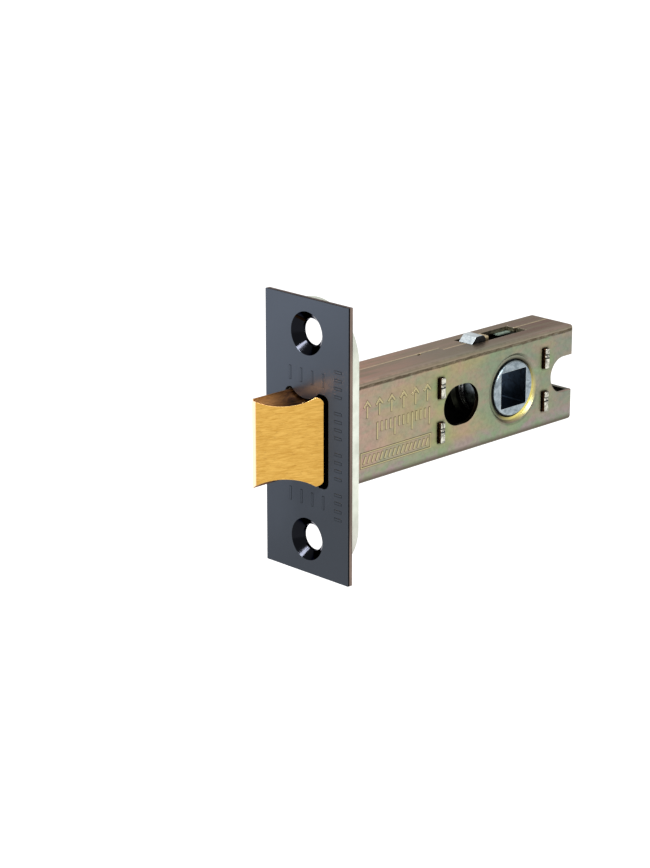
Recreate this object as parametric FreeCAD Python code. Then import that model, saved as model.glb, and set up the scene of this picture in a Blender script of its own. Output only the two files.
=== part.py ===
import FreeCAD, Part
import math
import os

# Tubular door latch, in millimetres. The bolt points along -X out of the door's edge and the
# case runs back along +X. +Z is up. The origin is on the face plate's front, midway between
# its two screw holes.

# Face plate: thin outer plate, dimpled round its screws
PLATE_HEIGHT = 58.7
PLATE_WIDTH = 24.0
PLATE_THICK = 1.2
SCREW_END_MARGIN = 7.35
SCREW_HOLE_R = 2.85
SCREW_SINK_R = 4.55
DIMPLE_DEPTH = 2.5
MOUTH_SIDE_GAP = 1.65
MOUTH_TOP_GAP = 0.5
MOUTH_CORNER_R = 1.5
TONGUE_GAP = 0.45

# Mounting plate behind it, with fully rounded ends, a little inside the face plate's outline
BACK_END_MARGIN = 0.25
BACK_SIDE_MARGIN = 0.15
BACK_THICK = 2.0
DIMPLE_CLEARANCE = 0.1

# Case: two folded half shells that meet along the top and the bottom
CASE_WIDTH = 12.2
CASE_HEIGHT = 21.8
CASE_BEHIND = 19.5
CASE_SEATING = 1.0
SHEET = 1.0
BEND_R = 0.7
REAR_BEND_R = 0.8
SEAM_Y = 1.1
SEAM_STEP_Y = -0.3
SEAM_STEP_LENGTH = 7.0
SEAM_NOTCH_WIDTH = 1.0
SEAM_BREAK = 0.15

# Follower axis, and what lies before and behind it
BACKSET = 57.0
ROSE_HOLE_BEFORE = 17.0
ROSE_HOLE_LENGTH = 10.9
ROSE_HOLE_HEIGHT = 8.9
REAR_NOTCH_BEHIND = 16.2
REAR_NOTCH_R = 4.1
SLOT_BEFORE = 9.6
SLOT_BEHIND = 7.6
SLOT_REAR_STEP = 0.6
SLOT_NEAR_GAP = 0.2
SLOT_FAR_GAP = 1.3

# Plane of the crank arm and the lug, midway between the case's sides
ARM_Y = 0.0

# Dish pressed into each side of the case round the follower
DISH_R = 8.0
DISH_DEPTH = 0.8
DISH_EDGE_BREAK = 0.25
JOURNAL_CLEARANCE = 0.08

# Bulkheads: cross plates whose tabs are staked through the sides
BULKHEAD_THICK = 1.3
FRONT_BULKHEAD_BEFORE = 24.0
REAR_BULKHEAD_BEHIND = 9.4
TAB_SPACING = 9.8
TAB_HEIGHT = 4.5
TAB_PROUD = 0.85
TAB_CLEARANCE = 0.08
TAB_FRONT_GAP = 0.45
TAB_END_BREAK = 0.15
STAKE_WIDTH = 0.5
STAKE_DEPTH = 0.3
BULKHEAD_GAP = 0.1

# Latch bolt
BOLT_THROW = 10.8
BOLT_TRAVEL = 10.4
BOLT_SIDE_GAP = 0.45
BOLT_HEIGHT = 19.0
BOLT_TAIL = 12.0
BODY_TOP_GAP = 0.15
SHOULDER_GAP = 0.15
GROOVE_DEPTH = 1.75
NEAR_CORNER_IN = 1.0
NEAR_CORNER_DROP = 1.6
NOSE_THICK = 0.45
BEVEL_ROOT_X = 0.25
STEP_LENGTH = 8.0

# Bolt spring, in a bore in the back of the bolt
SPRING_WIRE = 0.8
SPRING_OUTER_R = 3.05
SPRING_TURNS = 8
SPRING_RUNS = 10
SPRING_BORE_CLEARANCE = 0.35
SPRING_BORE_DEPTH = 8.0
SPRING_END_GAP = 0.05
WIRE_SIDES = 8

# Tail strap: pressed steel, riveted to the bolt, with a window for the retractor
STRAP_THICK = 0.9
STRAP_TOP_GAP = 0.55
STRAP_SIDE_GAP = 0.5
WINDOW_SIDE_GAP = 0.5
WINDOW_FRONT_GAP = 0.5
STRAP_END_THICK = 1.0
STRAP_END_HALF = 1.6
STRAP_END_GAP = 0.1
STRAP_END_TOP_GAP = 0.15
RIVET_R = 1.2
RIVET_HEAD_R = 1.9
RIVET_HEAD_HEIGHT = 0.35
RIVET_DEPTH = 4.0
RIVET_SPACING = 4.2

# Follower
SPINDLE_SQUARE = 8.1
SQUARE_CORNER_R = 0.3
BOSS_R = 6.15
BOSS_SINK = 0.2
BOSS_CHAMFER = 0.25
COLLAR_R = 6.42
COLLAR_LENGTH = 0.5
SPRING_SEAT_R = 6.0
DRUM_R = 6.6
DRUM_HALF_WIDTH = 2.3
ARM_REST_ANGLE = 44.0
ARM_RADIUS = 9.9
ARM_TIP_R = 1.1
ARM_NECK_HALF = 0.8
ARM_ROOT_FRONT = 1.6
ARM_HALF_WIDTH = 1.15

# Follower springs: one torsion coil each side of the drum
COIL_WIRE = 0.7
COIL_CLEARANCE = 0.45
COIL_TURNS = 1.3
COIL_RUNS = 16
COIL_SIDE_GAP = 0.05
COIL_LEG = 5.5

# Retractor: die-cast slider over the follower, with a lug through the top slot
RETRACTOR_FRONT = 10.6
RETRACTOR_BACK = 3.5
RETRACTOR_BOTTOM = 7.45
WING_THICK = 0.85
WING_HALF = 3.9
LUG_HALF = 1.9
LUG_FRONT = 9.3
LUG_BACK = 4.9
LUG_PROUD = 1.4
LUG_FRONT_R = 0.4
LUG_REAR_R = 1.2
LUG_SHOULDER_GAP = 0.15
POCKET_SIDE_GAP = 0.25
POCKET_FRONT = 9.2
POCKET_BACK = 5.2
POCKET_TOP_CENTRE = 7.0
POCKET_TOP_R = 1.6
POCKET_ROOF_GAP = 0.35

# Clip: a folded strip that straddles the retractor's web, close behind the lug
CLIP_GAP = 0.4
CLIP_SHEET = 0.5
CLIP_HALF = 1.45
CLIP_PROUD = 0.8
CLIP_BEND_R = 0.35

# Worked out from the above
CASE_END = BACKSET + CASE_BEHIND
HALF_W = CASE_WIDTH / 2
HALF_H = CASE_HEIGHT / 2
INNER_W = HALF_W - SHEET
INNER_H = HALF_H - SHEET
SCREW_SPACING = PLATE_HEIGHT - 2 * SCREW_END_MARGIN
BACK_HEIGHT = PLATE_HEIGHT - 2 * BACK_END_MARGIN
BACK_WIDTH = PLATE_WIDTH - 2 * BACK_SIDE_MARGIN
BACK_FACE = PLATE_THICK + BACK_THICK
CASE_START = BACK_FACE - CASE_SEATING
BOLT_HALF_W = INNER_W - BOLT_SIDE_GAP
BOLT_HALF_H = BOLT_HEIGHT / 2
STRAP_TOP = INNER_H - STRAP_TOP_GAP
STRAP_BOTTOM = STRAP_TOP - STRAP_THICK
FRONT_BULKHEAD_X = BACKSET - FRONT_BULKHEAD_BEFORE
REAR_BULKHEAD_X = BACKSET + REAR_BULKHEAD_BEHIND
ROSE_HOLE_X = BACKSET - ROSE_HOLE_BEFORE
NOTCH_X = BACKSET + REAR_NOTCH_BEHIND
SHOULDER_X = PLATE_THICK + SHOULDER_GAP
SLOT_NEAR_Y = ARM_Y - LUG_HALF - SLOT_NEAR_GAP
SLOT_FAR_Y = ARM_Y + LUG_HALF + SLOT_FAR_GAP
SLOT_FRONT_X = BACKSET - SLOT_BEFORE
SLOT_REAR_X = BACKSET + SLOT_BEHIND
JOURNAL_R = COLLAR_R + JOURNAL_CLEARANCE
RIM_Y = INNER_W - DISH_DEPTH
WEB_HALF = CLIP_HALF - CLIP_SHEET
WING_TOP = RETRACTOR_BOTTOM + WING_THICK
SPRING_MEAN_R = SPRING_OUTER_R - SPRING_WIRE / 2
SPRING_BORE_R = SPRING_OUTER_R + SPRING_BORE_CLEARANCE
COIL_INNER_R = SPRING_SEAT_R + COIL_CLEARANCE
COIL_MEAN_R = COIL_INNER_R + COIL_WIRE / 2
FAR_REACH = 100.0

V = FreeCAD.Vector
X_AXIS = V(1, 0, 0)
Y_AXIS = V(0, 1, 0)
Z_AXIS = V(0, 0, 1)


def box(x0, x1, y0, y1, z0, z1):
    return Part.makeBox(x1 - x0, y1 - y0, z1 - z0, V(x0, y0, z0))


def rod(radius, start, direction, length):
    return Part.makeCylinder(radius, length, start, direction)


def cone(r0, r1, start, direction, length):
    return Part.makeCone(r0, r1, length, start, direction)


def closed_face(edges):
    return Part.Face(Part.Wire(Part.__sortEdges__(edges)))


def line(a, b):
    return Part.makeLine(a, b)


def arc(a, middle, b):
    return Part.Arc(a, middle, b).toShape()


def polygon_face(points):
    return Part.Face(Part.makePolygon(points + [points[0]]))


def round_edges(solid, radius, wanted):
    edges = [edge for edge in solid.Edges if wanted(edge)]
    return solid.makeFillet(radius, edges)


def runs_along(edge, axis):
    # True for a straight edge that lies along the axis
    if edge.Curve.TypeId != "Part::GeomLine":
        return False
    return abs(abs(edge.Curve.Direction.dot(axis)) - 1) < 1e-6


def upright_stadium(length_z, half_width, x0, depth):
    # A plate across X with fully rounded top and bottom ends
    straight = length_z / 2 - half_width
    left_top = V(x0, -half_width, straight)
    right_top = V(x0, half_width, straight)
    left_low = V(x0, -half_width, -straight)
    right_low = V(x0, half_width, -straight)
    edges = [line(left_low, left_top),
             arc(left_top, V(x0, 0, length_z / 2), right_top),
             line(right_top, right_low),
             arc(right_low, V(x0, 0, -length_z / 2), left_low)]
    return closed_face(edges).extrude(V(depth, 0, 0))


def side_stadium(centre_x, length_x, height, y0, y1):
    # A slot through the sides, long along X, with round ends
    radius = height / 2
    half = length_x / 2 - radius
    points = [V(centre_x - half, y0, radius), V(centre_x + half, y0, radius),
              V(centre_x + half, y0, -radius), V(centre_x - half, y0, -radius)]
    edges = [line(points[0], points[1]),
             arc(points[1], V(centre_x + half + radius, y0, 0), points[2]),
             line(points[2], points[3]),
             arc(points[3], V(centre_x - half - radius, y0, 0), points[0])]
    return closed_face(edges).extrude(V(0, y1 - y0, 0))


def groove_circle():
    # The arc of the grooves in the bolt's head: centre's y and height, and radius
    near_y = NEAR_CORNER_IN - BOLT_HALF_W
    half_chord = (BOLT_HALF_W - near_y) / 2
    radius = (half_chord ** 2 + GROOVE_DEPTH ** 2) / (2 * GROOVE_DEPTH)
    return (BOLT_HALF_W + near_y) / 2, BOLT_HALF_H - GROOVE_DEPTH + radius, radius


def quarter_turn(x, y_side, y_top, z_side, z_top):
    # A rounded corner from an upright side to a level top
    bulge = 1 - math.sqrt(0.5)
    middle = V(x, y_side + (y_top - y_side) * bulge, z_top + (z_side - z_top) * bulge)
    return arc(V(x, y_side, z_side), middle, V(x, y_top, z_top))


def head_section(x):
    # The bolt's head: grooved top and bottom, rounded near corners, sharp far ones
    w = BOLT_HALF_W
    h = BOLT_HALF_H
    side_h = h - NEAR_CORNER_DROP
    horn_y = NEAR_CORNER_IN - w
    centre_y, centre_z, radius = groove_circle()
    edges = [line(V(x, -w, side_h), V(x, -w, -side_h)), line(V(x, w, h), V(x, w, -h))]
    for s in (1, -1):
        edges.append(quarter_turn(x, -w, horn_y, s * side_h, s * h))
        dip = V(x, centre_y, s * (centre_z - radius))
        edges.append(arc(V(x, horn_y, s * h), dip, V(x, w, s * h)))
    return closed_face(edges)


def mouth_section(x):
    # The face plate's opening: tongues top and bottom reach into the bolt's grooves
    w = BOLT_HALF_W + MOUTH_SIDE_GAP
    h = BOLT_HALF_H + MOUTH_TOP_GAP
    r = MOUTH_CORNER_R
    centre_y, centre_z, radius = groove_circle()
    radius = radius - TONGUE_GAP
    reach = math.sqrt(radius ** 2 - (centre_z - h) ** 2)
    edges = [line(V(x, y, h - r), V(x, y, r - h)) for y in (-w, w)]
    for s in (1, -1):
        edges.append(quarter_turn(x, -w, r - w, s * (h - r), s * h))
        edges.append(quarter_turn(x, w, w - r, s * (h - r), s * h))
        near = V(x, centre_y - reach, s * h)
        far = V(x, centre_y + reach, s * h)
        edges.append(line(V(x, r - w, s * h), near))
        edges.append(arc(near, V(x, centre_y, s * (centre_z - radius)), far))
        edges.append(line(far, V(x, w - r, s * h)))
    return closed_face(edges)


def screw_cone(grow, x0, x1):
    # A length of the 90 degree countersink, its surface moved out by grow
    return cone(SCREW_SINK_R - x0 + grow, SCREW_SINK_R - x1 + grow, V(x0, 0, 0), X_AXIS, x1 - x0)


def at_both_screws(solid):
    up = V(0, 0, SCREW_SPACING / 2)
    return solid.translated(up).fuse(solid.translated(-up))


def face_plate():
    # The sheet is dimpled round the screws, so it stands out behind as a cone of its own thickness
    plate = box(0, PLATE_THICK, -PLATE_WIDTH / 2, PLATE_WIDTH / 2, -PLATE_HEIGHT / 2, PLATE_HEIGHT / 2)
    dimple = screw_cone(PLATE_THICK * math.sqrt(2), 0, DIMPLE_DEPTH)
    sink = screw_cone(0, 0, SCREW_SINK_R - SCREW_HOLE_R)
    hole = rod(SCREW_HOLE_R, V(0, 0, 0), X_AXIS, 2 * DIMPLE_DEPTH)
    plate = plate.fuse(at_both_screws(dimple)).cut(at_both_screws(sink.fuse(hole)))
    mouth = mouth_section(-1).extrude(V(PLATE_THICK + 2, 0, 0))
    return plate.cut(mouth).removeSplitter()


def mounting_plate():
    plate = upright_stadium(BACK_HEIGHT, BACK_WIDTH / 2, PLATE_THICK, BACK_THICK)
    plate = plate.cut(case_outline(0, BACK_FACE + 1))
    wall_shift = PLATE_THICK * math.sqrt(2) + DIMPLE_CLEARANCE
    seat_depth = min(DIMPLE_DEPTH, BACK_FACE)
    seat = screw_cone(wall_shift, PLATE_THICK, seat_depth)
    throat_r = SCREW_SINK_R - seat_depth + wall_shift
    throat = rod(throat_r, V(0, 0, 0), X_AXIS, BACK_FACE + 1)
    return plate.cut(at_both_screws(seat.fuse(throat))).removeSplitter()


def case_outline(x0, x1):
    # The folded case's outer form between two stations
    body = box(x0, x1, -HALF_W, HALF_W, -HALF_H, HALF_H)
    return round_edges(body, BEND_R, lambda edge: runs_along(edge, X_AXIS))


def case_body():
    # The whole folded tube with its closed rear end, before it is divided at the seam
    outer = box(CASE_START, CASE_END, -HALF_W, HALF_W, -HALF_H, HALF_H)
    outer = round_edges(outer, REAR_BEND_R, is_rear_bend)
    outer = round_edges(outer, BEND_R, is_long_bend)
    inner = box(CASE_START - 1, CASE_END - SHEET, -INNER_W, INNER_W, -INNER_H, INNER_H)
    shell = outer.cut(inner)
    dish_r = DISH_R - DISH_DEPTH
    for s in (1, -1):
        outward = V(0, s, 0)
        rim_at = V(BACKSET, s * RIM_Y, 0)
        rim = cone(dish_r + SHEET / 2, DISH_R + SHEET / 2, rim_at, outward, DISH_DEPTH)
        hollow = cone(dish_r, DISH_R, rim_at + outward * SHEET, outward, DISH_DEPTH)
        bore = rod(JOURNAL_R, V(BACKSET, 0, 0), outward, CASE_WIDTH)
        shell = shell.fuse(rim).cut(hollow).cut(bore)
    return shell.makeChamfer(DISH_EDGE_BREAK, [edge for edge in shell.Edges if is_dish_edge(edge)])


def is_rear_bend(edge):
    middle = edge.CenterOfMass
    return runs_along(edge, Y_AXIS) and middle.x > CASE_END - 0.01


def is_long_bend(edge):
    # The bends along the top and bottom of each side, and round the rear corners
    middle = edge.CenterOfMass
    on_side = abs(abs(middle.y) - HALF_W) < 0.01
    high = abs(middle.z) > HALF_H - REAR_BEND_R
    return on_side and high and not runs_along(edge, Z_AXIS)


def is_dish_edge(edge):
    # The ring where a dish leaves the flat side
    if edge.Curve.TypeId != "Part::GeomCircle":
        return False
    on_side = abs(abs(edge.CenterOfMass.y) - HALF_W) < 0.01
    return on_side and abs(edge.Curve.Radius - DISH_R) < 0.01


def seam_groove(x0, x1, y, side):
    # The eased corners of the two sheets' edges, as one V along the top or the bottom
    b = SEAM_BREAK
    outside = side * (HALF_H + b)
    profile = polygon_face([V(x0, y - 2 * b, outside), V(x0, y + 2 * b, outside),
                            V(x0, y, side * (HALF_H - b))])
    return profile.extrude(V(x1 - x0, 0, 0))


def case_cutouts():
    w = HALF_W + 1
    cuts = [side_stadium(ROSE_HOLE_X, ROSE_HOLE_LENGTH, ROSE_HOLE_HEIGHT, -w, w)]
    notch = rod(REAR_NOTCH_R, V(NOTCH_X, -w, 0), Y_AXIS, 2 * w)
    notch = notch.fuse(box(NOTCH_X, CASE_END + 1, -w, w, -REAR_NOTCH_R, REAR_NOTCH_R))
    cuts.append(notch)
    cuts.append(box(SLOT_FRONT_X, SLOT_REAR_X, SLOT_NEAR_Y, SLOT_FAR_Y, INNER_H - 0.5, HALF_H + 1))
    step_x = SLOT_FRONT_X - SEAM_STEP_LENGTH
    cuts.append(seam_groove(BACK_FACE, step_x, SEAM_Y, 1))
    cuts.append(seam_groove(step_x, SLOT_FRONT_X, SEAM_STEP_Y, 1))
    cuts.append(seam_groove(SLOT_REAR_X, CASE_END, SEAM_Y, 1))
    cuts.append(seam_groove(BACK_FACE, CASE_END, SEAM_Y, -1))
    for x in (FRONT_BULKHEAD_X, REAR_BULKHEAD_X):
        for s in (1, -1):
            z = s * TAB_SPACING / 2
            half = TAB_HEIGHT / 2 + TAB_CLEARANCE
            cuts.append(box(x - TAB_FRONT_GAP, x + BULKHEAD_THICK + TAB_CLEARANCE, -w, w,
                            z - half, z + half))
    return cuts


def seam_side(near):
    # Everything on one side of the seam, which steps towards the near side ahead of the slot
    half = box(-1, FAR_REACH, -FAR_REACH, SEAM_Y, -FAR_REACH, FAR_REACH)
    step_x = SLOT_FRONT_X - SEAM_STEP_LENGTH
    step = box(step_x, SLOT_FRONT_X, SEAM_STEP_Y, SEAM_Y, 0, FAR_REACH)
    half = half.cut(step)
    if near:
        return half
    whole = box(-1, FAR_REACH, -FAR_REACH, FAR_REACH, -FAR_REACH, FAR_REACH)
    return whole.cut(half)


def case_shells():
    body = case_body()
    for cutout in case_cutouts():
        body = body.cut(cutout)
    near = body.common(seam_side(True))
    far = body.common(seam_side(False))
    # A locating notch at the seam over the front bulkhead, and the slot's stepped rear end
    x = FRONT_BULKHEAD_X
    near = near.cut(box(x, x + BULKHEAD_THICK, SEAM_Y - SEAM_NOTCH_WIDTH, SEAM_Y + 1,
                        INNER_H - 0.5, HALF_H + 1))
    near = near.cut(box(SLOT_REAR_X - 1, SLOT_REAR_X + SLOT_REAR_STEP, SLOT_NEAR_Y, SEAM_Y + 1,
                        INNER_H - 0.5, HALF_H + 1))
    return near.removeSplitter(), far.removeSplitter()


def bulkhead(x):
    w = INNER_W - BULKHEAD_GAP
    top = STRAP_BOTTOM - BULKHEAD_GAP
    plate = box(x, x + BULKHEAD_THICK, -w, w, -INNER_H + BULKHEAD_GAP, top)
    reach = HALF_W + TAB_PROUD
    for s in (1, -1):
        z = s * TAB_SPACING / 2
        plate = plate.fuse(box(x, x + BULKHEAD_THICK, -reach, reach,
                               z - TAB_HEIGHT / 2, z + TAB_HEIGHT / 2))
    plate = plate.removeSplitter()
    ends = [edge for edge in plate.Edges if abs(abs(edge.CenterOfMass.y) - reach) < 0.01]
    plate = plate.makeChamfer(TAB_END_BREAK, ends)
    for s in (1, -1):
        z = s * TAB_SPACING / 2 + TAB_HEIGHT / 6
        for side in (1, -1):
            tip = side * reach
            groove = polygon_face([V(x - 1, tip - side * STAKE_DEPTH, z),
                                   V(x - 1, tip + side * STAKE_DEPTH, z - STAKE_WIDTH),
                                   V(x - 1, tip + side * STAKE_DEPTH, z + STAKE_WIDTH)])
            plate = plate.cut(groove.extrude(V(BULKHEAD_THICK + 2, 0, 0)))
    return plate


def latch_bolt():
    block = head_section(-BOLT_THROW).extrude(V(BOLT_THROW + SHOULDER_X, 0, 0))
    body_h = INNER_H - BODY_TOP_GAP
    block = block.fuse(box(SHOULDER_X, BOLT_TAIL, -BOLT_HALF_W, BOLT_HALF_W, -body_h, body_h))
    reach = body_h + 1
    nose = V(-BOLT_THROW, BOLT_HALF_W - NOSE_THICK, -reach)
    root = V(BEVEL_ROOT_X, -BOLT_HALF_W, -reach)
    beyond = root + (root - nose) * 0.2
    before = nose + (nose - root) * 0.2
    corner = V(before.x, beyond.y, -reach)
    wedge = polygon_face([before, beyond, corner])
    wedge = wedge.extrude(V(0, 0, 2 * reach))
    block = block.cut(wedge)
    step_x = BOLT_TAIL - STEP_LENGTH
    block = block.cut(box(step_x, BOLT_TAIL + 1, -INNER_W, INNER_W, STRAP_BOTTOM, INNER_H))
    bore = rod(SPRING_BORE_R, V(BOLT_TAIL - SPRING_BORE_DEPTH, 0, 0), X_AXIS, SPRING_BORE_DEPTH + 1)
    block = block.cut(bore)
    for x in rivet_places():
        block = block.cut(rod(RIVET_R, V(x, 0, STRAP_BOTTOM - RIVET_DEPTH), Z_AXIS, 2 * RIVET_DEPTH))
    return block.removeSplitter()


def rivet_places():
    middle = BOLT_TAIL - STEP_LENGTH / 2
    return [middle - RIVET_SPACING / 2, middle + RIVET_SPACING / 2]


def tail_strap():
    w = INNER_W - STRAP_SIDE_GAP
    front = BOLT_TAIL - STEP_LENGTH
    end_front = BACKSET - RETRACTOR_BACK + STRAP_END_GAP
    end_back = end_front + STRAP_END_THICK
    strap = box(front, end_back, -w, w, STRAP_BOTTOM, STRAP_TOP)
    window_front = BACKSET - RETRACTOR_FRONT - BOLT_TRAVEL - WINDOW_FRONT_GAP
    window_half = LUG_HALF + WINDOW_SIDE_GAP
    strap = strap.cut(box(window_front, end_front, ARM_Y - window_half, ARM_Y + window_half,
                          STRAP_BOTTOM - 1, STRAP_TOP + 1))
    upstand_top = INNER_H - STRAP_END_TOP_GAP
    strap = strap.fuse(box(end_front, end_back, ARM_Y - STRAP_END_HALF, ARM_Y + STRAP_END_HALF,
                           STRAP_BOTTOM, upstand_top))
    strap = strap.removeSplitter()
    corners = [edge for edge in strap.Edges if runs_along(edge, Z_AXIS)
               and abs(abs(edge.CenterOfMass.y) - w) < 0.01]
    strap = strap.makeFillet(STRAP_THICK, corners)
    for x in rivet_places():
        strap = strap.cut(rod(RIVET_R, V(x, 0, STRAP_BOTTOM - 1), Z_AXIS, STRAP_THICK + 2))
    return strap


def tail_rivet(x):
    shank = rod(RIVET_R, V(x, 0, STRAP_BOTTOM - RIVET_DEPTH), Z_AXIS, RIVET_DEPTH + STRAP_THICK)
    head = cone(RIVET_HEAD_R, RIVET_R, V(x, 0, STRAP_TOP), Z_AXIS, RIVET_HEAD_HEIGHT)
    return shank.fuse(head).removeSplitter()


def helix_points(radius, turns, length, runs):
    # Corners of a helix about Z, from 0 up to length, in so many straight runs a turn
    count = round(turns * runs)
    step = 2 * math.pi * turns / count
    return [V(radius * math.cos(i * step), radius * math.sin(i * step), length * i / count)
            for i in range(count + 1)]


def bent_wire(points, wire):
    # Many-sided wire that follows the points, mitred where it turns
    ahead = (points[1] - points[0]).normalize()
    across = ahead.cross(Z_AXIS).normalize()
    over = ahead.cross(across)
    corners = []
    for i in range(WIRE_SIDES):
        angle = 2 * math.pi * i / WIRE_SIDES
        reach = across * math.cos(angle) + over * math.sin(angle)
        corners.append(points[0] + reach * (wire / 2))
    ring = Part.makePolygon(corners + [corners[0]])
    return Part.makePolygon(points).makePipeShell([ring], True, True, 1)


def bolt_spring():
    start = BOLT_TAIL - SPRING_BORE_DEPTH + SPRING_END_GAP + SPRING_WIRE / 2
    stop = FRONT_BULKHEAD_X - SPRING_END_GAP - SPRING_WIRE / 2
    spring = bent_wire(helix_points(SPRING_MEAN_R, SPRING_TURNS, stop - start, SPRING_RUNS), SPRING_WIRE)
    spring.rotate(V(0, 0, 0), Y_AXIS, 90)
    spring.translate(V(start, 0, 0))
    return spring


def arm_outline():
    # The crank arm upright over the axis, in a plane across Y; front is -X
    tip = V(0, 0, ARM_RADIUS)
    root_z = DRUM_R * 0.7
    rear_low = V(ARM_NECK_HALF, 0, root_z)
    rear_high = V(ARM_NECK_HALF, 0, ARM_RADIUS - math.sqrt(ARM_TIP_R ** 2 - ARM_NECK_HALF ** 2))
    front_low = V(-ARM_ROOT_FRONT, 0, root_z)
    front_high = V(-ARM_TIP_R, 0, ARM_RADIUS)
    top = tip + V(0, 0, ARM_TIP_R)
    round_tip = arc(front_high, top, V(ARM_TIP_R, 0, ARM_RADIUS))
    lower_tip = arc(V(ARM_TIP_R, 0, ARM_RADIUS),
                    tip + V(ARM_TIP_R * math.cos(0.4), 0, -ARM_TIP_R * math.sin(0.4)), rear_high)
    return closed_face([line(front_low, front_high), round_tip, lower_tip,
                        line(rear_high, rear_low), line(rear_low, front_low)])


def follower():
    axis = V(BACKSET, 0, 0)
    boss_end = HALF_W - BOSS_SINK
    body = rod(DRUM_R, axis - Y_AXIS * DRUM_HALF_WIDTH, Y_AXIS, 2 * DRUM_HALF_WIDTH)
    seat_end = RIM_Y - COIL_SIDE_GAP
    body = body.fuse(rod(SPRING_SEAT_R, axis - Y_AXIS * seat_end, Y_AXIS, 2 * seat_end))
    collar_end = seat_end + COLLAR_LENGTH
    for s in (1, -1):
        outward = V(0, s, 0)
        body = body.fuse(rod(COLLAR_R, axis + outward * seat_end, outward, COLLAR_LENGTH))
        straight = boss_end - collar_end - BOSS_CHAMFER
        body = body.fuse(rod(BOSS_R, axis + outward * collar_end, outward, straight))
        body = body.fuse(cone(BOSS_R, BOSS_R - BOSS_CHAMFER,
                              axis + outward * (boss_end - BOSS_CHAMFER), outward, BOSS_CHAMFER))
    arm = arm_outline().extrude(V(0, 2 * ARM_HALF_WIDTH, 0))
    arm.translate(V(BACKSET, ARM_Y - ARM_HALF_WIDTH, 0))
    arm.rotate(axis, Y_AXIS, -ARM_REST_ANGLE)
    body = body.fuse(arm)
    half = SPINDLE_SQUARE / 2
    square = box(BACKSET - half, BACKSET + half, -CASE_WIDTH, CASE_WIDTH, -half, half)
    square = round_edges(square, SQUARE_CORNER_R, lambda edge: runs_along(edge, Y_AXIS))
    return body.cut(square).removeSplitter()


def follower_spring(side):
    # A close coil round the seat, with one straight leg towards the case's floor
    room = RIM_Y - 2 * COIL_SIDE_GAP - DRUM_HALF_WIDTH - COIL_WIRE
    leg_end = V(COIL_MEAN_R, -COIL_LEG, 0)
    spring = bent_wire([leg_end] + helix_points(COIL_MEAN_R, COIL_TURNS, room, COIL_RUNS), COIL_WIRE)
    spring.rotate(V(0, 0, 0), X_AXIS, -90)
    spring.translate(V(BACKSET, DRUM_HALF_WIDTH + COIL_SIDE_GAP + COIL_WIRE / 2, 0))
    spring.rotate(V(BACKSET, 0, 0), Y_AXIS, 90)
    if side < 0:
        spring = spring.mirror(V(0, 0, 0), Y_AXIS)
    return spring


def web_top():
    return HALF_H + CLIP_PROUD - CLIP_SHEET


def is_crosswise(edge, x, z):
    # True for an edge across the latch at a station and a height
    middle = edge.CenterOfMass
    return runs_along(edge, Y_AXIS) and abs(middle.x - x) < 0.01 and abs(middle.z - z) < 0.01


def retractor():
    bottom = RETRACTOR_BOTTOM
    front = BACKSET - RETRACTOR_FRONT
    back = BACKSET - RETRACTOR_BACK
    lug_front = BACKSET - LUG_FRONT
    lug_back = BACKSET - LUG_BACK
    wings = box(front, back, -WING_HALF, WING_HALF, bottom, WING_TOP)
    block = box(front, lug_back, ARM_Y - LUG_HALF, ARM_Y + LUG_HALF, bottom, INNER_H - LUG_SHOULDER_GAP)
    web = box(lug_back, back, ARM_Y - WEB_HALF, ARM_Y + WEB_HALF, bottom, web_top())
    top = HALF_H + LUG_PROUD
    y = ARM_Y - LUG_HALF
    profile = polygon_face([V(lug_front, y, bottom), V(lug_front, y, HALF_H),
                            V(lug_front + LUG_PROUD, y, top), V(lug_back, y, top),
                            V(lug_back, y, bottom)])
    lug = profile.extrude(V(0, 2 * LUG_HALF, 0))
    lug = round_edges(lug, LUG_REAR_R, lambda edge: is_crosswise(edge, lug_back, top))
    lug = round_edges(lug, LUG_FRONT_R, lambda edge: is_crosswise(edge, lug_front + LUG_PROUD, top))
    body = wings.fuse(block).fuse(web).fuse(lug).removeSplitter()
    pocket_half = ARM_HALF_WIDTH + POCKET_SIDE_GAP
    y = ARM_Y - pocket_half
    roof = ARM_RADIUS + ARM_TIP_R + POCKET_ROOF_GAP
    centre = V(BACKSET - POCKET_TOP_CENTRE, y, roof - POCKET_TOP_R)
    left = centre - X_AXIS * POCKET_TOP_R
    right = centre + X_AXIS * POCKET_TOP_R
    front_low = V(BACKSET - POCKET_FRONT, y, bottom - 1)
    front_high = V(BACKSET - POCKET_FRONT, y, WING_TOP)
    back_low = V(BACKSET - POCKET_BACK, y, bottom - 1)
    back_high = V(BACKSET - POCKET_BACK, y, WING_TOP)
    edges = [line(front_low, front_high), line(front_high, left),
             arc(left, centre + Z_AXIS * POCKET_TOP_R, right),
             line(right, back_high), line(back_high, back_low), line(back_low, front_low)]
    pocket = closed_face(edges).extrude(V(0, 2 * pocket_half, 0))
    return body.cut(pocket)


def retractor_clip():
    # Two legs that stand on the wings and a top that rests on the web
    front = BACKSET - LUG_BACK + CLIP_GAP
    back = BACKSET - RETRACTOR_BACK
    top = HALF_H + CLIP_PROUD
    strip = box(front, back, ARM_Y - CLIP_HALF, ARM_Y + CLIP_HALF, WING_TOP, top)
    strip = round_edges(strip, CLIP_BEND_R, lambda edge: runs_along(edge, X_AXIS)
                        and edge.CenterOfMass.z > top - 0.01)
    inside = box(front - 1, back + 1, ARM_Y - WEB_HALF, ARM_Y + WEB_HALF, WING_TOP - 1, web_top())
    return strip.cut(inside)


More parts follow.
